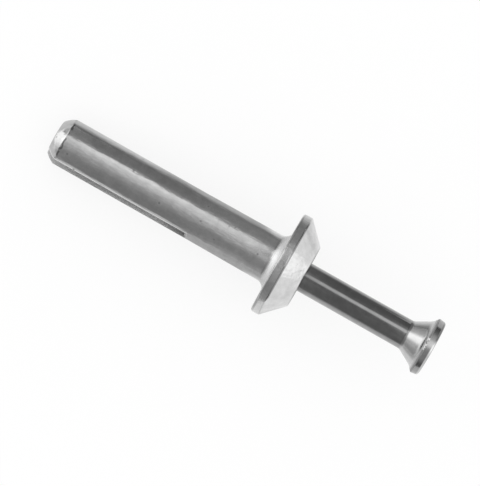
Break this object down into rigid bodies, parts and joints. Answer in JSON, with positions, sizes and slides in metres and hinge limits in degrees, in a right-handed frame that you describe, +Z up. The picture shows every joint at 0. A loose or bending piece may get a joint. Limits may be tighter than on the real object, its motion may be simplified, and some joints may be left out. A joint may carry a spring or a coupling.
{
  "type": "hammer drive anchor",
  "caption": "Hammer drive anchor: a slotted die-cast body with a flanged, bevelled head, and the flared steel nail that is driven down its bore to spread the legs in a drilled hole.",
  "frame": {"origin": "centre of the flange's bearing face, on the anchor's axis, 6.8 mm above the ground that the anchor lies on", "axes": "+Z up as the anchor lies on its side; the anchor's axis is in the XZ plane and leans 7.0 degrees from +X, with the nail end towards +X and raised and the slotted tip towards -X"},
  "size_m": [0.0542, 0.0138, 0.0138],
  "materials": {
    "cast_zinc": "satin",
    "nail_steel": "satin"
  },
  "bodies": {
    "anchor": {"anchor_body": "cast_zinc"},
    "nail": {"drive_nail": "nail_steel"}
  },
  "joints": [
    {"name": "nail_drive", "type": "slide", "parent": "anchor", "child": "nail", "axis": [-0.9925, 0, -0.122], "range_m": [0, 0.0184]}
  ]
}
